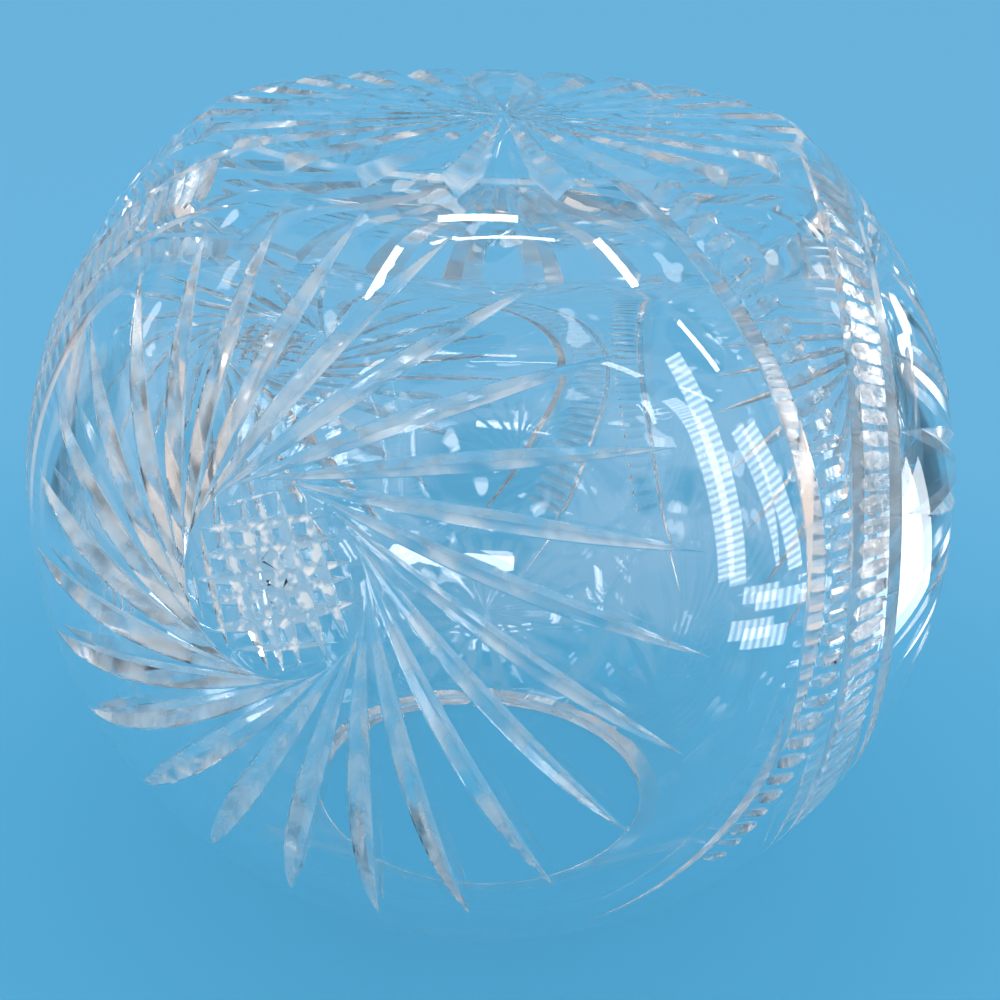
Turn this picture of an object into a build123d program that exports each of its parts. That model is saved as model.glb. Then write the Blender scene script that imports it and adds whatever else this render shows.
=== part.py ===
from build123d import *
from collections import namedtuple
import math
import os

# Cut crystal rose bowl in millimetres. It stands on its mouth rim with the star-cut base face up.
# The origin is the centre of the rim plane, and +Z points to the base face.

# Blown body
body_diameter = 152.0
base_diameter = 90.6  # of the flat base face
mouth_opening = 62.0
rim_width = 4.9  # of the flat ring round the mouth
rim_round = 1.0
wall = 4.8
base_floor = 11.5
cavity_corner_radius = 30.0
base_bevel = 0.8

# Star on the base face: mitre cuts that deepen from the centre to the edge
star_rays = 24
star_edge_depth = 2.0
star_angle = 112.0

# Pinwheels: mitre cuts that leave the edge of a hatched button
wheel_count = 3
wheel_rise = 14.5  # button centre above the widest ring
wheel_turn = -90.0  # compass angle of the first wheel
button_diameter = 26.0
ray_count = 24
ray_depth = 1.3
ray_angle = 92.0
ray_reach = 56.5  # along the surface, from the button's centre to a tip at its side
ray_lean = 6.5  # a ray towards the mouth is longer by this, and one towards the base shorter

# Hatching of a button: two crossed sets of straight mitre cuts
hatch_cuts = 8
hatch_angle = 120.0
hatch_turn = 20.0

# Split bands between the wheels: a mitre cut that curves round the wheel on the left, and a pair that curves
# round the one on the right. A cut follows a circle on the ball. Rise and turn place the circle's axis, with
# the turn counted from the wheel on the left. Ring is the angle between that axis and the cut. Start and end
# are angles about the axis, clockwise from the top as seen from outside.
band_edge_depth = 1.5
band_middle_depth = 1.1
band_angle = 100.0
BandCut = namedtuple("BandCut", "rise turn ring start end depth")
band_cuts = [
    BandCut(rise=7.5, turn=0.0, ring=56.5, start=8.0, end=145.0, depth=band_edge_depth),
    BandCut(rise=0.0, turn=120.0, ring=58.5, start=-140.0, end=-2.0, depth=band_middle_depth),
    BandCut(rise=3.5, turn=113.0, ring=44.5, start=-150.0, end=-10.0, depth=band_edge_depth),
]

cut_overrun = 1.5  # how far every cutter stands proud of the glass

body_radius = body_diameter / 2
base_radius = base_diameter / 2
rim_radius = mouth_opening / 2 + rim_width
base_height = math.sqrt(body_radius**2 - base_radius**2)  # of the base face above the widest ring
belly_height = math.sqrt(body_radius**2 - rim_radius**2)  # of the widest ring above the rim plane
body_height = belly_height + base_height
centre = Vector(0, 0, belly_height)


def cut_from_slab(radius, low, high):
    """The right half of a disc about the ball's centre, between two heights above that centre."""
    slab = Pos(radius / 2, (low + high) / 2) * Rectangle(radius, high - low)
    return Circle(radius) & slab


def blown_body():
    """The uncut ball with its flat base face, its cavity and its ground mouth."""
    outside = cut_from_slab(body_radius, -belly_height, base_height)
    cavity_radius = body_radius - wall
    floor_height = base_height - base_floor
    cavity = cut_from_slab(cavity_radius, -belly_height, floor_height)
    corner = cavity.vertices().group_by(Axis.Y)[-1].sort_by(Axis.X)[-1]
    cavity = fillet(corner, cavity_corner_radius)
    bore_top = -math.sqrt(cavity_radius**2 - (mouth_opening / 2) ** 2)
    bore_height = bore_top + belly_height
    bore = Pos(mouth_opening / 4, bore_top - bore_height / 2) * Rectangle(mouth_opening / 2, bore_height)
    section = outside - cavity - bore
    rim = section.vertices().group_by(Axis.Y)[0]
    section = fillet(rim, rim_round)
    edge = section.vertices().group_by(Axis.Y)[-1].sort_by(Axis.X)[-1]
    section = chamfer(edge, base_bevel)
    return Pos(*centre) * revolve(Plane.XZ * section, Axis.Z)


def mitre_cutter(start, end, depth, angle, ring=90.0):
    """A V cutter that follows a circle on the ball, runs out at two angles and is deepest between them.

    The ball's centre is the origin, and ring is the angle between the cut and the circle's axis, -Z.
    """
    half_span = math.radians(end - start) / 2
    lean = math.radians(ring)
    outward = Vector(math.sin(lean), -math.cos(lean))
    across = Vector(math.cos(lean), math.sin(lean))
    circle_radius = body_radius * math.sin(lean)
    bottom = circle_radius - depth / math.sin(lean)
    # The bottom of the cut is an arc of a larger circle, whose centre lies behind the axis.
    shift = (circle_radius**2 - bottom**2) / (2 * (circle_radius * math.cos(half_span) - bottom))
    sweep_radius = bottom - shift
    half_sweep = math.degrees(math.asin(circle_radius * math.sin(half_span) / sweep_radius))
    height = depth + cut_overrun
    half_width = height * math.tan(math.radians(angle / 2))
    root = Vector(bottom, -body_radius * math.cos(lean))
    crest = root + outward * height
    profile = Polyline(root, crest + across * half_width, crest - across * half_width, close=True)
    section = Plane.XZ * make_face(profile)
    turn_axis = Axis((shift, 0, 0), (0, 0, 1))
    cutter = revolve(section, turn_axis, 2 * half_sweep)
    return cutter.rotate(turn_axis, -half_sweep).rotate(Axis.Z, (start + end) / 2)


def directions(rise, turn):
    """Out of the ball at a rise and a compass turn, up along the ball from there, and to the right."""
    out = Vector(math.cos(math.radians(rise)), 0, math.sin(math.radians(rise))).rotate(Axis.Z, turn)
    side = Vector(0, 0, 1).cross(out).normalized()
    return out, out.cross(side), side


def wheel_directions(turn):
    return directions(math.degrees(math.asin(wheel_rise / body_radius)), turn)


def ray_cutters(turn):
    """The rays of one wheel. Each leaves the button's edge along its tangent, clockwise seen from outside."""
    out, upward, side = wheel_directions(turn)
    button = math.asin(button_diameter / 2 / body_radius)
    cutters = []
    for step in range(ray_count):
        around = 2 * math.pi * step / ray_count
        to_foot = upward * math.cos(around) + side * math.sin(around)
        heading = side * math.cos(around) - upward * math.sin(around)
        foot = out * math.cos(button) + to_foot * math.sin(button)
        # A tip lies a quarter turn on from the ray's foot, near enough, and that sets its reach.
        reach = (ray_reach + ray_lean * math.sin(around)) / body_radius
        span = math.degrees(math.acos(math.cos(reach) / math.cos(button)))
        cutter = mitre_cutter(0, span, ray_depth, ray_angle)
        cutters.append(Plane(centre, x_dir=foot, z_dir=foot.cross(heading)).location * cutter)
    return cutters


def hatch_cutters(turn):
    """The crossed cuts of one button. They bottom out in the plane of its edge, so they run out on it."""
    out, upward, side = wheel_directions(turn)
    edge_height = math.sqrt(body_radius**2 - (button_diameter / 2) ** 2)
    height = body_radius - edge_height + cut_overrun
    half_width = height * math.tan(math.radians(hatch_angle / 2))
    profile = Polyline((0, 0), (half_width, height), (-half_width, height), close=True)
    bar = extrude(Plane.XZ * make_face(profile), button_diameter / 2 + cut_overrun, both=True)
    edge_plane = Plane(centre + out * edge_height, x_dir=side, z_dir=out)
    pitch = button_diameter / hatch_cuts
    cutters = []
    for across in (hatch_turn, hatch_turn + 90):
        for step in range(hatch_cuts):
            offset = (step - (hatch_cuts - 1) / 2) * pitch
            cutters.append(edge_plane.location * Rot(0, 0, across) * Pos(offset, 0, 0) * bar)
    return cutters


def band_cutters(turn):
    """The cuts of the band between one wheel and the next on its right."""
    cutters = []
    for cut in band_cuts:
        out, upward, side = directions(cut.rise, turn + cut.turn)
        cutter = mitre_cutter(cut.start, cut.end, cut.depth, band_angle, cut.ring)
        cutters.append(Plane(centre, x_dir=upward, z_dir=-out).location * cutter)
    return cutters


def star_cutters():
    """The rays of the base star: straight cuts that start at nothing in the centre."""
    slope = math.atan(star_edge_depth / base_radius)
    height = star_edge_depth + cut_overrun
    half_width = height * math.tan(math.radians(star_angle / 2))
    length = base_radius + cut_overrun
    profile = Polyline((0, 0), (half_width, height), (-half_width, height), close=True)
    bar = extrude(Plane.YZ * make_face(profile), length)
    bar = Pos(0, 0, body_height) * bar.rotate(Axis.Y, math.degrees(slope))
    return [bar.rotate(Axis.Z, 360 / star_rays * step) for step in range(star_rays)]


def crystal_bowl():
    """The bowl with its star, wheels and bands cut into it."""
    bowl = blown_body() - star_cutters()
    for index in range(wheel_count):
        turn = wheel_turn + 360 / wheel_count * index
        for cutter in band_cutters(turn):
            bowl -= cutter
        rays = ray_cutters(turn)
        # Neighbouring rays run into each other at the button, so every other one is cut in its own pass.
        bowl -= rays[0::2]
        bowl -= rays[1::2]
        bowl -= hatch_cutters(turn)
    return bowl


os.makedirs("parts", exist_ok=True)
bowl = crystal_bowl()
bowl.label = "crystal_bowl"
export_step(bowl, "parts/crystal_bowl.step")
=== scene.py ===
import math

import bpy
from mathutils import Matrix, Vector


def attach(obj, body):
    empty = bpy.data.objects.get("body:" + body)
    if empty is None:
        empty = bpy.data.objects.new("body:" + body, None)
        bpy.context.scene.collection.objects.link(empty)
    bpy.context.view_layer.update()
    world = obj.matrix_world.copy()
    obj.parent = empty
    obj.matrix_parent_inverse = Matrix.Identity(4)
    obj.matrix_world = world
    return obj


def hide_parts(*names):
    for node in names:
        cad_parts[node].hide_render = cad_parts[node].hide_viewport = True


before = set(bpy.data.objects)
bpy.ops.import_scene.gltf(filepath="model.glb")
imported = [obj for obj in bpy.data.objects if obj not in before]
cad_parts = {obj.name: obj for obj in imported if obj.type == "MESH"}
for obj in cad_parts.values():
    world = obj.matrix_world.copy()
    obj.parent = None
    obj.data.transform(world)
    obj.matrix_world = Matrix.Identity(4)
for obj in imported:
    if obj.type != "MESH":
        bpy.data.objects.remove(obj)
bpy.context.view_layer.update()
mm = 0.001


# One socket of a node tree, so that node maths reads like plain arithmetic.
class Wire:
    def __init__(self, graph, socket):
        self.graph = graph
        self.socket = socket

    def math(self, operation, *others):
        return self.graph.math(operation, self, *others)

    def __add__(self, other):
        return self.math("ADD", other)

    def __radd__(self, other):
        return self.math("ADD", other)

    def __sub__(self, other):
        return self.math("SUBTRACT", other)

    def __rsub__(self, other):
        return self.graph.math("SUBTRACT", other, self)

    def __mul__(self, other):
        return self.math("MULTIPLY", other)

    def __rmul__(self, other):
        return self.math("MULTIPLY", other)

    def __truediv__(self, other):
        return self.math("DIVIDE", other)

    def __rtruediv__(self, other):
        return self.graph.math("DIVIDE", other, self)

    def __neg__(self):
        return self.math("MULTIPLY", -1.0)

    def __pow__(self, other):
        return self.math("POWER", other)

    def sin(self):
        return self.math("SINE")

    def cos(self):
        return self.math("COSINE")

    def asin(self):
        return self.math("ARCSINE")

    def acos(self):
        return self.math("ARCCOSINE")

    def tan(self):
        return self.math("TANGENT")

    def root(self):
        return self.math("SQRT")

    def turns(self):
        return self.math("RADIANS")

    def length(self):
        return self.graph.wire("ShaderNodeVectorMath", {"operation": "LENGTH"}, {0: self}, "Value")


# A node tree that gives out wires.
class Graph:
    def __init__(self, tree):
        self.tree = tree

    def node(self, kind, settings=None, inputs=None):
        made = self.tree.nodes.new(kind)
        for name, value in (settings or {}).items():
            setattr(made, name, value)
        for key, value in (inputs or {}).items():
            self.feed(made.inputs[key], value)
        return made

    def feed(self, socket, value):
        if isinstance(value, Wire):
            self.tree.links.new(value.socket, socket)
        else:
            socket.default_value = value

    def wire(self, kind, settings=None, inputs=None, output=0):
        return Wire(self, self.node(kind, settings, inputs).outputs[output])

    def math(self, operation, *values):
        return self.wire("ShaderNodeMath", {"operation": operation}, dict(enumerate(values)))

    # A wire that carries one fixed number.
    def steady(self, value):
        made = self.wire("ShaderNodeValue")
        made.socket.default_value = value
        return made

    def vector(self, x, y, z):
        return self.wire("ShaderNodeCombineXYZ", None, {"X": x, "Y": y, "Z": z})

    def parts(self, vector):
        split = self.node("ShaderNodeSeparateXYZ", None, {0: vector})
        return [Wire(self, split.outputs[axis]) for axis in "XYZ"]


# A node tree of a material, a lamp or the world.
class Shades(Graph):
    # Whether a ray comes from the camera, and whether it comes from there or by way of glass or gloss.
    def lightPath(self):
        path = self.node("ShaderNodeLightPath")
        kinds = ("Is Camera Ray", "Is Glossy Ray", "Is Transmission Ray")
        direct, glossy, through = (Wire(self, path.outputs[kind]) for kind in kinds)
        return direct, direct.math("MAXIMUM", glossy.math("MAXIMUM", through))

    def dot(self, vector, other):
        settings = {"operation": "DOT_PRODUCT"}
        return self.wire("ShaderNodeVectorMath", settings, {0: vector, 1: other}, "Value")

    def shifted(self, vector, shift):
        return self.wire("ShaderNodeVectorMath", {"operation": "ADD"}, {0: vector, 1: shift})

    # Rises smoothly from 0 to 1 between two values.
    def ramp(self, value, low, high):
        return self.wire(
            "ShaderNodeMapRange",
            {"interpolation_type": "SMOOTHSTEP"},
            {"Value": value, "From Min": low, "From Max": high, "To Min": 0.0, "To Max": 1.0},
        )

    def mixed(self, factor, first, second):
        return self.wire("ShaderNodeMix", {"data_type": "RGBA"}, {0: factor, 6: first, 7: second}, 2)

    def noise(self, vector, scale, detail=1.0):
        return self.wire(
            "ShaderNodeTexNoise",
            {"noise_dimensions": "3D"},
            {"Vector": vector, "Scale": scale, "Detail": detail},
        )


bowl = {
    "ballRadius": 76.0 * mm,
    "baseRadius": 45.3 * mm,
    "rimWidth": 4.9 * mm,
    "mouthRadius": 31.0 * mm,
    "rimRound": 1.0 * mm,
    "baseBevel": 0.8 * mm,
    "wall": 4.8 * mm,
    "baseFloor": 11.5 * mm,
    "cornerRadius": 30.0 * mm,
    "segments": 288,
    "rowLength": 2.0 * mm,
    "rimRowShare": 0.08,  # rows on the rounded rim, as a share of the row length
}


# The closed outline of the blown body as corner-to-corner runs of points, (distance from the axis, height).
def bowlOutline(d):
    ball, base, rim = d["ballRadius"], d["baseRadius"], d["mouthRadius"] + d["rimWidth"]
    belly = math.sqrt(ball**2 - rim**2)
    top = belly + math.sqrt(ball**2 - base**2)
    inner = ball - d["wall"]

    def arc(middle, radius, start, end, share=1.0):
        steps = max(4, round(abs(end - start) * radius / (d["rowLength"] * share)))
        turn = [start + (end - start) * step / steps for step in range(steps + 1)]
        return [(middle[0] + radius * math.cos(a), middle[1] + radius * math.sin(a)) for a in turn]

    def line(start, end):
        steps = max(1, round(math.dist(start, end) / (2 * d["rowLength"])))
        return [
            (start[0] + (end[0] - start[0]) * k / steps, start[1] + (end[1] - start[1]) * k / steps)
            for k in range(steps + 1)
        ]

    bevel, small = d["baseBevel"], d["rimRound"]
    # The base face and its bevelled edge, and the ball down to the rim.
    baseTurn = math.asin((top - bevel - belly) / ball)
    points = line((0, top), (base - bevel, top))
    rimCentre = math.sqrt((ball - small) ** 2 - (belly - small) ** 2)
    rimTurn = -math.atan2(belly - small, rimCentre)
    points += arc((0, belly), ball, baseTurn, rimTurn)
    # The rim, which is rounded at both edges, and the short bore of the mouth.
    points += arc((rimCentre, small), small, rimTurn, -math.pi / 2, d["rimRowShare"])
    points += arc((d["mouthRadius"] + small, small), small, -math.pi / 2, -math.pi, d["rimRowShare"])
    boreTurn = -math.acos(d["mouthRadius"] / inner)
    points += line(points[-1], (d["mouthRadius"], belly + inner * math.sin(boreTurn)))
    # The cavity, its rounded corner and its floor.
    floorHeight = top - belly - d["baseFloor"]
    corner = d["cornerRadius"]
    cornerHeight = floorHeight - corner
    cornerReach = math.sqrt((inner - corner) ** 2 - cornerHeight**2)
    cornerTurn = math.atan2(cornerHeight, cornerReach)
    points += arc((0, belly), inner, boreTurn, cornerTurn)
    points += arc((cornerReach, belly + cornerHeight), corner, cornerTurn, math.pi / 2)
    points += line((cornerReach, belly + floorHeight), (0, belly + floorHeight))
    # Where two runs meet, their common point counts once.
    points = [p for k, p in enumerate(points) if k == 0 or math.dist(p, points[k - 1]) > 1e-7]
    return points, belly, top


def latheMesh(name, outline, segments):
    inside = outline[1:-1]
    vertices = [(0, 0, outline[0][1]), (0, 0, outline[-1][1])]
    for reach, height in inside:
        for k in range(segments):
            a = 2 * math.pi * k / segments
            vertices.append((reach * math.cos(a), reach * math.sin(a), height))
    last = 2 + (len(inside) - 1) * segments
    faces = []
    for k in range(segments):
        after = (k + 1) % segments
        faces.append((0, 2 + k, 2 + after))
        faces.append((1, last + after, last + k))
        for row in range(len(inside) - 1):
            here, below = 2 + row * segments, 2 + (row + 1) * segments
            faces.append((here + k, below + k, below + after, here + after))
    mesh = bpy.data.meshes.new(name)
    mesh.from_pydata(vertices, [], faces)
    mesh.update()
    return mesh


# The inputs of the tree that cuts the bowl. Angles are in degrees, except the skew of the hatching.
cuts = {
    "Ball Radius": bowl["ballRadius"],
    "Base Radius": bowl["baseRadius"],
    "Overrun": 1.5 * mm,  # how far a cutter stands proud of the glass at least
    "Star Rays": 24,
    "Star Depth": 2.0 * mm,
    "Star Angle": 112.0,
    "Wheel Rise": 14.5 * mm,
    "Button Radius": 13.0 * mm,
    "Ray Count": 24,
    "Ray Depth": 1.3 * mm,
    "Ray Angle": 92.0,
    "Ray Reach": 56.5 * mm,
    "Ray Lean": 6.5 * mm,
    "Ray Spread": 26.0,  # how much wider a ray opens on the mouth's side of its wheel
    "Hatch Cuts": 8,
    "Hatch Angle": 120.0,
    "Hatch Turn": 20.0,
    "Hatch Drift": 0.16,  # in pitches
    "Hatch Skew": 0.07,
    "Hatch Lift": 0.25 * mm,
    "Band Angle": 100.0,
    "Rung Depth": 0.6 * mm,
    "Rung Angle": 130.0,
    "Seed": 5,
}

# The mitre cuts of a band. Each follows a circle on the ball: the rise and turn of its axis, with the turn
# counted from the wheel on the band's left, the angle from that axis, and where it starts and ends.
bandCuts = {
    "Left": {"Rise": 7.5, "Turn": 0.0, "Ring": 56.5, "Start": 8.0, "End": 145.0, "Depth": 1.5 * mm},
    "Middle": {"Rise": 0.0, "Turn": 120.0, "Ring": 58.5, "Start": -140.0, "End": -2.0, "Depth": 1.1 * mm},
    "Right": {"Rise": 3.5, "Turn": 113.0, "Ring": 44.5, "Start": -150.0, "End": -10.0, "Depth": 1.5 * mm},
}

# The rungs that cross the flanks of a band beside one of its cuts.
rungSets = {
    "Left": {"Near": 0.3, "Far": 5.0, "First": 30.0, "Last": 125.0, "Rungs": 34},
    "Middle": {"Near": -0.3, "Far": -6.9, "First": -125.0, "Last": -25.0, "Rungs": 38},
}
for table in (bandCuts, rungSets):
    for line, values in table.items():
        cuts.update({line + " " + name: value for name, value in values.items()})

# What the tree keeps to itself. A star ray's ends are in base radii, and its depth there in star depths.
cutShape = {
    "starRun": (0.02, 1.1),
    "rungUneven": 0.25,  # how much the depths of the rungs differ
    "rungEnds": 0.3,  # a rung keeps its depth nearer to its ends, the smaller this is
    "straightSteps": 1,
    "rungSteps": 8,
    "raySteps": 26,
    "bandSteps": 60,
}


class Cutters(Graph):
    def __init__(self, tree, values):
        super().__init__(tree)
        kinds = {int: "NodeSocketInt", float: "NodeSocketFloat"}
        tree.interface.new_socket("Geometry", in_out="INPUT", socket_type="NodeSocketGeometry")
        tree.interface.new_socket("Body Height", in_out="INPUT", socket_type="NodeSocketFloat")
        tree.interface.new_socket("Belly Height", in_out="INPUT", socket_type="NodeSocketFloat")
        for name, value in values.items():
            tree.interface.new_socket(name, in_out="INPUT", socket_type=kinds[type(value)])
        tree.interface.new_socket("Material", in_out="INPUT", socket_type="NodeSocketMaterial")
        tree.interface.new_socket("Geometry", in_out="OUTPUT", socket_type="NodeSocketGeometry")
        entry = self.node("NodeGroupInput")
        self.given = {socket.name: Wire(self, socket) for socket in entry.outputs if socket.name}

    # Numbered three-sided bars, and for each point of them its bar's number, its lift from the bar's bottom
    # edge, its place to the side and its run along the bar.
    def repeated(self, count, steps):
        bar = self.wire(
            "GeometryNodeMeshCylinder",
            {"fill_type": "NGON"},
            {"Vertices": 3, "Side Segments": steps, "Fill Segments": 1, "Radius": 1.0, "Depth": 1.0},
        )
        spots = self.wire("GeometryNodePoints", None, {"Count": count})
        numbers = self.wire("GeometryNodeInputIndex")
        spots = self.wire(
            "GeometryNodeStoreNamedAttribute",
            {"data_type": "FLOAT", "domain": "POINT"},
            {"Geometry": spots, "Name": "cutNumber", "Value": numbers},
        )
        laid = self.wire("GeometryNodeInstanceOnPoints", None, {"Points": spots, "Instance": bar})
        loose = self.wire("GeometryNodeRealizeInstances", None, {"Geometry": laid})
        number = self.wire("GeometryNodeInputNamedAttribute", {"data_type": "FLOAT"}, {"Name": "cutNumber"})
        x, y, z = self.parts(self.wire("GeometryNodeInputPosition"))
        lift = (1.0 - x) / 1.5
        side = y * (2 / math.sqrt(3))
        return loose, number, lift, side, z + 0.5

    def placed(self, geometry, x, y, z):
        return self.wire(
            "GeometryNodeSetPosition", None, {"Geometry": geometry, "Position": self.vector(x, y, z)}
        )

    # A bar bent along a circle on the ball that it runs out of at both ends, deepest in the middle. All are
    # measured about the circle's axis: the angles of the ends, and a point's place ahead, along and up.
    def mitre(self, start, end, depth, angle, ring, lift, side, run):
        ball = self.given["Ball Radius"]
        circle = ball * ring.sin()
        bottom = circle - depth / ring.sin()
        half, middle = (end - start) / 2, (end + start) / 2
        shift = (circle * circle - bottom * bottom) / (2 * (circle * half.cos() - bottom))
        reach = bottom - shift
        sweep = (circle * half.sin() / reach).asin()
        opening = (depth + self.given["Overrun"]) * lift
        aside = (depth + self.given["Overrun"]) * (angle / 2).turns().tan() * side
        out = reach + opening * ring.sin() + aside * ring.cos()
        turn = sweep * (2 * run - 1)
        ahead = shift + out * turn.cos()
        along = out * turn.sin()
        rise = ball * ring.cos() + opening * ring.cos() - aside * ring.sin()
        return (
            ahead * middle.cos() - along * middle.sin(),
            ahead * middle.sin() + along * middle.cos(),
            rise,
        )

    def uneven(self, number, amount, salt=0):
        chance = self.wire(
            "FunctionNodeRandomValue",
            {"data_type": "FLOAT"},
            {2: -1.0, 3: 1.0, "ID": number, "Seed": self.given["Seed"] + salt},
            1,
        )
        return chance * amount

    # The same cutters at each third of a turn about the axis, tilted first and lifted to the ball's centre.
    def thirds(self, geometry, tilt, turn):
        centre = self.vector(0, 0, self.given["Belly Height"])
        spots = self.wire("GeometryNodePoints", None, {"Count": 3, "Position": centre})
        third = self.wire("GeometryNodeInputIndex") * (2 * math.pi / 3) + turn
        spin = self.wire("FunctionNodeEulerToRotation", None, {0: self.vector(0.0, tilt, third)})
        laid = self.wire(
            "GeometryNodeInstanceOnPoints", None, {"Points": spots, "Instance": geometry, "Rotation": spin}
        )
        return self.wire("GeometryNodeRealizeInstances", None, {"Geometry": laid})

    # Straight cuts that start at next to nothing near the base's centre and deepen towards its edge.
    def starCutters(self):
        given = self.given
        bars, number, lift, side, run = self.repeated(given["Star Rays"], cutShape["straightSteps"])
        height = given["Star Depth"] + given["Overrun"]
        turn = number * (2 * math.pi) / given["Star Rays"]
        near, far = cutShape["starRun"]
        along = given["Base Radius"] * (near + (far - near) * run)
        drop = given["Star Depth"] * (near + (far - near) * run)
        aside = height * (given["Star Angle"] / 2).turns().tan() * side
        x = along * turn.cos() - aside * turn.sin()
        y = along * turn.sin() + aside * turn.cos()
        return self.placed(bars, x, y, given["Body Height"] - drop + height * lift)

    # Every other ray of the wheels, from the first or from the second. A ray leaves the button's edge along
    # its tangent and follows a great circle, whose ring is a quarter turn.
    def rayCutters(self, first):
        given = self.given
        bars, number, lift, side, run = self.repeated(given["Ray Count"] / 2, cutShape["raySteps"])
        around = (number * 2 + first) * (2 * math.pi) / given["Ray Count"]
        button = (given["Button Radius"] / given["Ball Radius"]).asin()
        reach = (given["Ray Reach"] + given["Ray Lean"] * around.sin()) / given["Ball Radius"]
        span = (reach.cos() / button.cos()).acos()
        level = self.steady(math.pi / 2)
        angle = given["Ray Angle"] + given["Ray Spread"] * (0.5 - 0.5 * around.cos())
        ahead, along, rise = self.mitre(0.0, span, given["Ray Depth"], angle, level, lift, side, run)
        aside = -rise
        x = button.cos() * ahead - button.sin() * aside
        y = around.sin() * button.sin() * ahead + around.cos() * along + button.cos() * around.sin() * aside
        z = around.cos() * button.sin() * ahead - around.sin() * along + button.cos() * around.cos() * aside
        return self.onWheels(self.placed(bars, x, y, z))

    # One of the two crossed sets of straight cuts on the buttons.
    def hatchCutters(self, quarter):
        given = self.given
        bars, number, lift, side, run = self.repeated(given["Hatch Cuts"], cutShape["straightSteps"])
        ball, button = given["Ball Radius"], given["Button Radius"]
        edge = (ball * ball - button * button).root()
        height = ball - edge + given["Overrun"]
        salt = 7 if quarter else 3
        turn = given["Hatch Turn"].turns() + quarter + self.uneven(number, given["Hatch Skew"], salt)
        pitch = button * 2 / given["Hatch Cuts"]
        drift = self.uneven(number, given["Hatch Drift"], salt + 1)
        across = (number - (given["Hatch Cuts"] - 1) / 2 + drift) * pitch
        across = across - height * (given["Hatch Angle"] / 2).turns().tan() * side
        along = (run * 2 - 1) * (button + given["Overrun"])
        y = across * turn.cos() - along * turn.sin()
        z = across * turn.sin() + along * turn.cos()
        base = edge + given["Hatch Lift"] * (self.uneven(number, 0.5, salt + 2) + 0.5)
        return self.onWheels(self.placed(bars, base + height * lift, y, z))

    def onWheels(self, geometry):
        rise = (self.given["Wheel Rise"] / self.given["Ball Radius"]).asin()
        return self.thirds(geometry, -rise, -math.pi / 2)

    def bandCutters(self, line):
        given = self.given
        bars, _, lift, side, run = self.repeated(1, cutShape["bandSteps"])
        rise, turn, ring, start, end = (
            given[line + " " + name].turns() for name in ("Rise", "Turn", "Ring", "Start", "End")
        )
        depth = given[line + " Depth"]
        ahead, along, height = self.mitre(start, end, depth, given["Band Angle"], ring, lift, side, run)
        return self.thirds(self.placed(bars, height, along, ahead), -rise, turn - math.pi / 2)

    # Short cuts across a band's flank, each along a meridian of the axis of the mitre cut beside it.
    def rungCutters(self, line):
        given = self.given
        count = given[line + " Rungs"]
        bars, number, lift, side, run = self.repeated(count, cutShape["rungSteps"])
        names = ("Rise", "Turn", "Ring", "Near", "Far", "First", "Last")
        rise, turn, ring, near, far, first, last = (given[line + " " + name].turns() for name in names)
        deepest = given["Rung Depth"] * (1.0 + self.uneven(number, cutShape["rungUneven"]))
        depth = deepest * (4 * run * (1 - run)) ** cutShape["rungEnds"]
        around = first + (last - first) * number / (count - 1)
        down = ring + near + (far - near) * run
        out = given["Ball Radius"] - depth + (depth + given["Overrun"]) * lift
        aside = (depth + given["Overrun"]) * (given["Rung Angle"] / 2).turns().tan() * side
        height = out * down.cos()
        along = out * down.sin() * around.sin() - aside * around.cos()
        ahead = out * down.sin() * around.cos() + aside * around.sin()
        return self.thirds(self.placed(bars, height, along, ahead), -rise, turn - math.pi / 2)

    def cutAll(self):
        shape = self.given["Geometry"]
        operands = [
            self.starCutters(),
            *(self.bandCutters(line) for line in bandCuts),
            *(self.rungCutters(line) for line in rungSets),
            self.rayCutters(0.0),
            self.rayCutters(1.0),
            self.hatchCutters(0.0),
            self.hatchCutters(math.pi / 2),
        ]
        for operand in operands:
            shape = self.wire(
                "GeometryNodeMeshBoolean",
                {"operation": "DIFFERENCE", "solver": "MANIFOLD"},
                {"Mesh 1": shape, "Mesh 2": operand},
            )
        loose = self.wire("GeometryNodeRealizeInstances", None, {"Geometry": shape})
        inputs = {"Geometry": loose, "Material": self.given["Material"]}
        dressed = self.wire("GeometryNodeSetMaterial", None, inputs)
        self.tree.links.new(dressed.socket, self.node("NodeGroupOutput").inputs[0])


# Runs a geometry node tree on a mesh and returns the plain mesh that it makes.
def bakedMesh(name, start, tree, values):
    holder = bpy.data.objects.new(name + "Holder", start)
    bpy.context.scene.collection.objects.link(holder)
    modifier = holder.modifiers.new("Cuts", "NODES")
    modifier.node_group = tree
    for item in tree.interface.items_tree:
        if item.in_out == "INPUT" and item.name in values:
            modifier[item.identifier] = values[item.name]
    depsgraph = bpy.context.evaluated_depsgraph_get()
    mesh = bpy.data.meshes.new_from_object(holder.evaluated_get(depsgraph), depsgraph=depsgraph)
    mesh.name = name
    bpy.data.objects.remove(holder)
    return mesh


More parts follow.
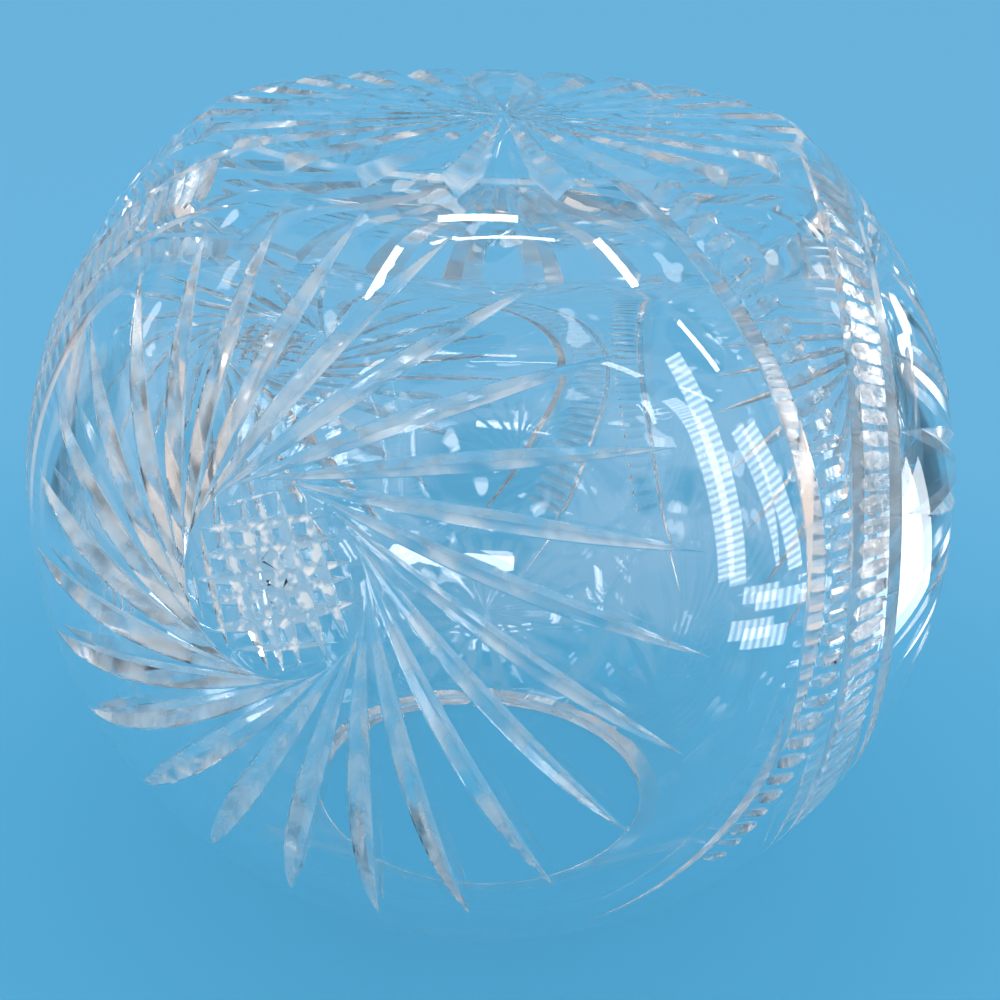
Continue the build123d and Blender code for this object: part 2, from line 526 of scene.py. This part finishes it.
# Pairs are the two values between which something fades in. Scales are of noise, in patches per metre.
finish = {
    "tint": (1.0, 1.0, 1.0, 1.0),
    "ior": 1.545,
    "sharpAngle": math.radians(12),
    "cutEdge": (0.04 * mm, 0.20 * mm),  # below the polished ball and the base face
    "wallEdge": (0.1 * mm, 0.3 * mm),  # outside the cavity's wall
    "floorEdge": (1.0 * mm, 2.0 * mm),  # above the cavity's floor
    "cutRoughness": 0.12,
    "hazeColour": (0.93, 0.92, 0.91, 1.0),
    "cutHaze": 0.10,
    "rayHaze": 0.38,
    "rayZone": (50.0, 43.0),  # degrees from the nearest wheel's centre
    "hazeScale": 160.0,
    "hazeEdges": (0.30, 0.70),
    "buttonVeil": 0.28,
    # The buttons' painted glints: how strong the white matt spots are, their noise scale and where they fade
    # in.
    "buttonGlints": 0.72,
    "buttonZone": (10.2, 9.4),
    "glintScale": 640.0,
    "glintEdges": (0.50, 0.66),
    "grainScale": 700.0,
    "grainDepth": 0.006 * mm,
    "waveScale": 55.0,
    "waveDepth": 0.02 * mm,
}


# How near a place is to the centre of its wheel, as the cosine of the angle between them.
def nearWheel(x, y, above, reach):
    nearest = None
    lift = cuts["Wheel Rise"] / bowl["ballRadius"]
    level = math.sqrt(1 - lift**2)
    for third in range(3):
        turn = math.radians(-90 + 120 * third)
        facing = (x * math.cos(turn) + y * math.sin(turn)) * level + above * lift
        nearest = nearest.math("MAXIMUM", facing) if nearest else facing
    return nearest / reach


# Polished glass whose cuts keep a little of the grinding wheel's grain and haze, and whose buttons carry
# painted glints as white matt spots. A point lies on a cut where it is below the ball and below the base
# face, and outside the cavity.
def crystalMaterial(d, belly, top):
    material = bpy.data.materials.new("cutCrystal")
    material.use_nodes = True
    graph = Shades(material.node_tree)
    nodes = material.node_tree.nodes
    shader = nodes["Principled BSDF"]
    shader.inputs["Base Color"].default_value = d["tint"]
    shader.inputs["Transmission Weight"].default_value = 1.0
    shader.inputs["IOR"].default_value = d["ior"]

    place = Wire(graph, graph.node("ShaderNodeTexCoord").outputs["Object"])
    x, y, z = graph.parts(place)
    above = z - belly
    reach = (x * x + y * y + above * above).root()
    below = graph.ramp(bowl["ballRadius"] - reach, *d["cutEdge"]) * graph.ramp(top - z, *d["cutEdge"])
    inner = bowl["ballRadius"] - bowl["wall"]
    floor = top - bowl["baseFloor"]
    beyondWall = graph.ramp(reach, *(inner + edge for edge in d["wallEdge"]))
    beyondFloor = graph.ramp(z, *(floor + edge for edge in d["floorEdge"]))
    cut = below * beyondWall.math("MAXIMUM", beyondFloor)

    grain = graph.noise(place, d["grainScale"], 2.0)
    graph.feed(shader.inputs["Roughness"], cut * d["cutRoughness"] * (grain + 0.5))
    wave = graph.noise(place, d["waveScale"])
    height = cut * grain * d["grainDepth"] + (1.0 - cut) * wave * d["waveDepth"]
    bump = graph.wire("ShaderNodeBump", None, {"Strength": 1.0, "Distance": 1.0, "Height": height})
    graph.feed(shader.inputs["Normal"], bump)

    near = nearWheel(x, y, above, reach)
    rays, button = (
        graph.ramp(near, *(math.cos(math.radians(angle)) for angle in zone))
        for zone in (d["rayZone"], d["buttonZone"])
    )
    patches = graph.ramp(graph.noise(place, d["hazeScale"], 2.0), *d["hazeEdges"])
    # Painted glints: small white matt spots over the buttons, in place of the sparkle of their facets.
    paintedGlints = graph.ramp(graph.noise(place, d["glintScale"]), *d["glintEdges"])
    haze = patches * (d["cutHaze"] + rays * d["rayHaze"]) * (1.0 - button)
    haze = haze + button * (d["buttonVeil"] + paintedGlints * d["buttonGlints"])
    matt = graph.wire("ShaderNodeBsdfDiffuse", None, {"Color": d["hazeColour"], "Normal": bump})
    polished = Wire(graph, shader.outputs[0])
    both = graph.wire("ShaderNodeMixShader", None, {0: cut * haze, 1: polished, 2: matt})
    graph.feed(nodes["Material Output"].inputs["Surface"], both)
    return material


outline, bellyHeight, bodyHeight = bowlOutline(bowl)
blank = latheMesh("bowlBlank", outline, bowl["segments"])
print("blank", len(blank.polygons), "faces")
cutTree = bpy.data.node_groups.new("bowlCuts", "GeometryNodeTree")
Cutters(cutTree, cuts).cutAll()
print("cuts", len(cutTree.nodes), "nodes")
crystal = crystalMaterial(finish, bellyHeight, bodyHeight)
cuts.update({"Body Height": bodyHeight, "Belly Height": bellyHeight, "Material": crystal})
bowlMesh = bakedMesh("crystalBowl", blank, cutTree, cuts)
crystalBowl = bpy.data.objects.new("crystalBowl", bowlMesh)
bpy.context.scene.collection.objects.link(crystalBowl)
bowlMesh.shade_smooth()
bowlMesh.set_sharp_from_angle(angle=finish["sharpAngle"])
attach(crystalBowl, "root")
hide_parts("crystal_bowl")
print("bowl", len(bowlMesh.polygons), "faces")

# The camera of the photograph. Focal length and centre are in pixels of its square frame.
camera = {
    "distance": 258.4 * mm,
    "elevation": math.radians(23.6),
    "azimuth": math.radians(-68.5),
    "roll": math.radians(2.0),
    "focal": 1511.0,
    "centre": (491.0, 475.0),
    "frame": 1000.0,
    "sensor": 36.0,
    "clipStart": 0.01,
}

# A blue sheet that the bowl stands on, and a pale room round it. The camera sees blue all over. The other
# rays see blue behind the bowl and close by, and the room elsewhere. Pairs are the two values between which
# something fades in, and a slope is how much of a way is level, away from the camera, and how much rises.
studio = {
    "floorHalf": 6.0,
    "floorDrop": 0.0002,
    "backdrop": (0.145, 0.465, 0.745, 1.0),
    # Painted shade on the sheet: a darker blue close to the bowl, fading to the backdrop's blue between two
    # distances.
    "sheetShade": (0.088, 0.406, 0.680, 1.0),
    "sheetShadeEdge": (0.04, 0.26),
    "floorGlow": 0.75,
    "sheetFront": 0.45,  # how far the sheet reaches towards the camera
    "sheetHalf": 0.24,
    "sheetSpread": 0.9,  # how much wider the sheet is for each unit of distance behind the bowl
    "sheetEdge": 0.05,
    "sheetPatches": 0.25,
    "sheetScale": 9.0,
    "backCone": (0.30, 0.45),
    "backPatches": 1.5,
    "backScale": 4.0,
    "backLean": math.radians(22),
    "room": (0.72, 0.67, 0.65, 1.0),
    "roomWarm": (0.90, 0.78, 0.71, 1.0),
    "roomDark": (0.03, 0.04, 0.05, 1.0),
    "roomGrey": (0.85, 0.85, 0.85, 1.0),  # what lights matt surfaces
    "roomScale": 3.4,
    "warmEdges": (0.42, 0.60),
    "darkShift": (3.1, 1.7, 5.3),
    "darkEdges": (0.59, 0.62),
    "window": (4.6, 4.5, 4.4, 1.0),
    "windowShift": (7.9, 2.3, 4.1),
    "windowScale": 7.0,
    "windowEdges": (0.66, 0.69),
    "windowFree": ((0.92, -0.39), (0.92, 0.45)),  # slopes behind the bowl that have no windows round them
    "windowShade": (0.80, 0.70),
    "darkTurns": (math.radians(62), math.radians(-72)),
    "darkWidth": (math.cos(math.radians(9)), math.cos(math.radians(7))),
    "gapsFrom": (0.2, 0.3),
    "cameraSlope": (-0.92, 0.39),
    "cameraShade": (0.93, 0.97),
    "lampRadiance": 26.0,
    "lampReach": 0.6,
    "lampFloorGap": 0.3,
    "ribSwing": 0.35,
    "ribLevel": 0.65,
    "bounces": 40,
}
backward = Vector((-math.cos(camera["azimuth"]), -math.sin(camera["azimuth"]), 0.0))
sideward = Vector((-math.sin(camera["azimuth"]), math.cos(camera["azimuth"]), 0.0))


# A way at a slope, which leads away from the camera, or towards it where its level part is negative.
def sloping(level, rise):
    return (backward.x * level, backward.y * level, rise)


# Pale walls with warm and dark patches, and darkness where the camera stands.
def roomColour(graph, way, d):
    patches = graph.noise(way, d["roomScale"])
    shadows = graph.ramp(graph.noise(graph.shifted(way, d["darkShift"]), d["roomScale"]), *d["darkEdges"])
    walls = graph.mixed(graph.ramp(patches, *d["warmEdges"]), d["room"], d["roomWarm"])
    toCamera = graph.dot(way, sloping(*d["cameraSlope"]))
    dark = shadows.math("MAXIMUM", graph.ramp(toCamera, *d["cameraShade"]))
    return graph.mixed(dark, walls, d["roomDark"])


# Small bright panes all round, except straight behind the bowl.
def withWindows(graph, way, colour, d):
    panes = graph.noise(graph.shifted(way, d["windowShift"]), d["windowScale"])
    panes = graph.ramp(panes, *d["windowEdges"])
    beside = 1.0
    for slope in d["windowFree"]:
        ahead = graph.dot(way, sloping(*slope))
        beside = graph.ramp(-ahead, -d["windowShade"][0], -d["windowShade"][1]) * beside
    return graph.mixed(panes * beside, colour, d["window"])


# Two dark gaps near the floor, one on each side of the sheet.
def withGaps(graph, way, colour, d):
    dark = None
    for turn in d["darkTurns"]:
        there = backward * math.cos(turn) + sideward * math.sin(turn)
        gap = graph.ramp(graph.dot(way, (there.x, there.y, 0.0)), *d["darkWidth"])
        dark = dark.math("MAXIMUM", gap) if dark else gap
    return graph.mixed(dark, colour, d["roomDark"])


def makeFloor(d):
    mesh = bpy.data.meshes.new("floor")
    half = d["floorHalf"]
    corners = [(-half, -half, 0), (half, -half, 0), (half, half, 0), (-half, half, 0)]
    mesh.from_pydata(corners, [], [(0, 1, 2, 3)])
    made = bpy.data.objects.new("floor", mesh)
    made.location = (0, 0, -d["floorDrop"])
    bpy.context.scene.collection.objects.link(made)
    material = bpy.data.materials.new("blueSheet")
    material.use_nodes = True
    material.node_tree.nodes.clear()
    graph = Shades(material.node_tree)
    direct, seen = graph.lightPath()
    place = Wire(graph, graph.node("ShaderNodeTexCoord").outputs["Object"])
    back, aside = graph.dot(place, backward), graph.dot(place, sideward)
    reach = d["sheetHalf"] + d["sheetSpread"] * back.math("MAXIMUM", 0.0)
    edge = d["sheetEdge"]
    patches = (graph.noise(place, d["sheetScale"]) - 0.5) * d["sheetPatches"]
    aside = aside.math("ABSOLUTE") + patches
    within = graph.ramp(reach - aside, -edge, edge) * graph.ramp(back + d["sheetFront"], -edge, edge)
    way = graph.wire("ShaderNodeVectorMath", {"operation": "NORMALIZE"}, {0: place})
    away = place.length()
    # Painted shade: the sheet is a darker blue close to the bowl, in its matt colour and in what the camera
    # sees.
    blue = graph.mixed(graph.ramp(away, *d["sheetShadeEdge"]), d["sheetShade"], d["backdrop"])
    around = graph.mixed(within, roomColour(graph, way, d), blue)
    around = graph.mixed(graph.ramp(away, *d["gapsFrom"]), around, withGaps(graph, way, around, d))
    colour = graph.mixed(direct, around, blue)
    matt = graph.wire("ShaderNodeBsdfDiffuse", None, {"Color": blue})
    glow = graph.wire("ShaderNodeEmission", None, {"Color": colour, "Strength": 1.0})
    both = graph.wire("ShaderNodeMixShader", None, {0: seen * d["floorGlow"], 1: matt, 2: glow})
    graph.node("ShaderNodeOutputMaterial", None, {"Surface": both})
    mesh.materials.append(material)


def makeWorld(d):
    world = bpy.data.worlds.new("studio")
    bpy.context.scene.world = world
    world.use_nodes = True
    world.node_tree.nodes.clear()
    graph = Shades(world.node_tree)
    direct, seen = graph.lightPath()
    way = Wire(graph, graph.node("ShaderNodeTexCoord").outputs["Generated"])
    patches = (graph.noise(way, d["backScale"]) - 0.5) * d["backPatches"]
    behind = graph.dot(way, sloping(math.cos(d["backLean"]), math.sin(d["backLean"])))
    behind = graph.ramp(behind + patches, *d["backCone"])
    around = graph.mixed(behind, roomColour(graph, way, d), d["backdrop"])
    around = withGaps(graph, way, withWindows(graph, way, around, d), d)
    around = graph.mixed(direct, around, d["backdrop"])
    plain = graph.mixed(seen, d["roomGrey"], around)
    sky = graph.wire("ShaderNodeBackground", None, {"Color": plain, "Strength": 1.0})
    graph.node("ShaderNodeOutputWorld", None, {"Surface": sky})


bellyPoint = Vector((0, 0, bellyHeight))
elevation, azimuth, roll = camera["elevation"], camera["azimuth"], camera["roll"]
level = math.cos(elevation)
toward = Vector((level * math.cos(azimuth), level * math.sin(azimuth), math.sin(elevation)))
right = Vector((-math.sin(azimuth), math.cos(azimuth), 0))
upward = toward.cross(right)
rolledRight = right * math.cos(roll) + upward * math.sin(roll)
rolledUp = upward * math.cos(roll) - right * math.sin(roll)
cameraData = bpy.data.cameras.new("camera")
cameraObject = bpy.data.objects.new("camera", cameraData)
basis = Matrix((rolledRight, rolledUp, toward)).transposed().to_4x4()
cameraObject.matrix_world = Matrix.Translation(bellyPoint + toward * camera["distance"]) @ basis
cameraData.sensor_width = camera["sensor"]
cameraData.lens = camera["sensor"] * camera["focal"] / camera["frame"]
cameraData.shift_x = (camera["frame"] / 2 - camera["centre"][0]) / camera["frame"]
cameraData.shift_y = (camera["centre"][1] - camera["frame"] / 2) / camera["frame"]
cameraData.clip_start = camera["clipStart"]
bpy.context.scene.collection.objects.link(cameraObject)
bpy.context.scene.camera = cameraObject
bpy.context.scene.view_settings.view_transform = "Standard"
print("camera", round(cameraData.lens, 2), "mm lens")


# Where a lamp stands that the outside of the ball mirrors into one point of the picture, and the place on the
# ball that mirrors it.
def mirrored(across, down, reach):
    x, y = (across - camera["centre"][0]) / camera["focal"], (camera["centre"][1] - down) / camera["focal"]
    ray = (rolledRight * x + rolledUp * y - toward).normalized()
    start = toward * camera["distance"]
    ahead = start.dot(ray)
    hit = start - ray * (ahead + math.sqrt(ahead**2 - start.dot(start) + bowl["ballRadius"] ** 2))
    normal = hit.normalized()
    return bellyPoint + hit + (ray - normal * (2 * ray.dot(normal))) * reach, bellyPoint + hit


# A strip lamp whose highlight on the bowl runs from one point of the picture to another.
def stripLamp(name, start, end, width, strength, ribs=0, reach=studio["lampReach"]):
    a, seenA = mirrored(*start, reach)
    b, seenB = mirrored(*end, reach)
    middle = (a + b) / 2
    length = (b - a).length
    data = bpy.data.lights.new(name, "AREA")
    data.shape = "RECTANGLE"
    data.size, data.size_y = length, width
    data.energy = strength * studio["lampRadiance"] * math.pi * length * width
    if ribs:
        data.use_nodes = True
        graph = Shades(data.node_tree)
        along = graph.parts(Wire(graph, graph.node("ShaderNodeNewGeometry").outputs["Parametric"]))[0]
        stripes = (along * (2 * math.pi * ribs)).sin() * studio["ribSwing"] + studio["ribLevel"]
        graph.feed(data.node_tree.nodes["Emission"].inputs["Strength"], stripes)
    lamp = bpy.data.objects.new(name, data)
    back = (middle - (seenA + seenB) / 2).normalized()
    along = (b - a).normalized()
    back = (back - along * back.dot(along)).normalized()
    basis = Matrix((along, back.cross(along), back)).transposed().to_4x4()
    lamp.matrix_world = Matrix.Translation(middle) @ basis
    lamp.visible_camera = False
    # A lamp that stands near the floor would leave a pool of light on it.
    lamp.visible_diffuse = middle.z > studio["lampFloorGap"]
    bpy.context.scene.collection.objects.link(lamp)


# For each lamp, the ends of its highlight in the picture, its width in metres and its strength, and then,
# where it has them, its ribs and a shorter reach from the bowl.
lamps = {
    "lampTop": ((438, 219), (518, 219), 0.020, 1.0),
    "lampArc": ((430, 243), (555, 240), 0.008, 0.8),
    "lampLeft": ((368, 298), (400, 247), 0.020, 1.0),
    "lampRightHigh": ((596, 239), (636, 287), 0.022, 1.0),
    "lampRight": ((678, 322), (718, 371), 0.012, 1.0),
    "lampMiddle": ((392, 550), (514, 564), 0.036, 0.55),
    "lampRibbed": ((672, 356), (738, 585), 0.046, 0.42, 32),
    "lampRibbedRight": ((748, 426), (796, 572), 0.042, 0.42, 20),
    "lampRibbedLow": ((756, 602), (822, 586), 0.018, 0.34, 9, 0.25),
    "lampRibbedLowest": ((742, 640), (786, 633), 0.016, 0.34, 6, 0.18),
    "lampGlowRight": ((903, 500), (906, 622), 0.050, 0.12, 0, 0.12),
    "lampGlowLeft": ((160, 585), (192, 648), 0.024, 0.45, 0, 0.12),
}
makeFloor(studio)
makeWorld(studio)
print("floor and world")
for name, values in lamps.items():
    stripLamp(name, *values)
print("lamps", len(lamps))
bpy.context.scene.cycles.max_bounces = studio["bounces"]
bpy.context.scene.cycles.transmission_bounces = studio["bounces"]
bpy.context.scene.cycles.glossy_bounces = studio["bounces"]
